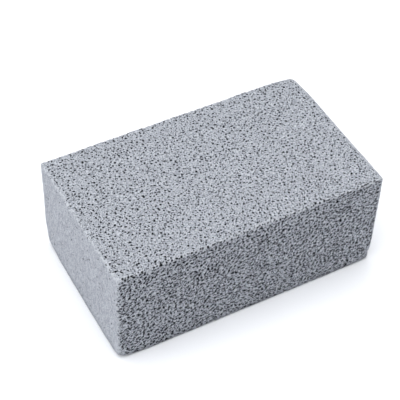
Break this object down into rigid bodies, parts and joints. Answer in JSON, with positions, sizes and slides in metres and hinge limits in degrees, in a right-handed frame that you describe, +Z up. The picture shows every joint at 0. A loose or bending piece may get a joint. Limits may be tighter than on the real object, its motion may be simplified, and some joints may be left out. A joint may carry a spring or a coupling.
{
  "type": "grill cleaning stone",
  "caption": "Hand-held rectangular block of foamed stone, full of fine open pores, for scouring grill grates and griddles.",
  "frame": {"origin": "middle of the bottom face, on the plane that the block rests on", "axes": "+X along the length, +Y across the width towards the slightly lower long edge of the top, +Z up along the height"},
  "size_m": [0.1, 0.06, 0.0418],
  "materials": {
    "foamed_stone": "matte, open-pored, bluish grey"
  },
  "bodies": {
    "root": {"stone": "foamed_stone"}
  },
  "joints": []
}
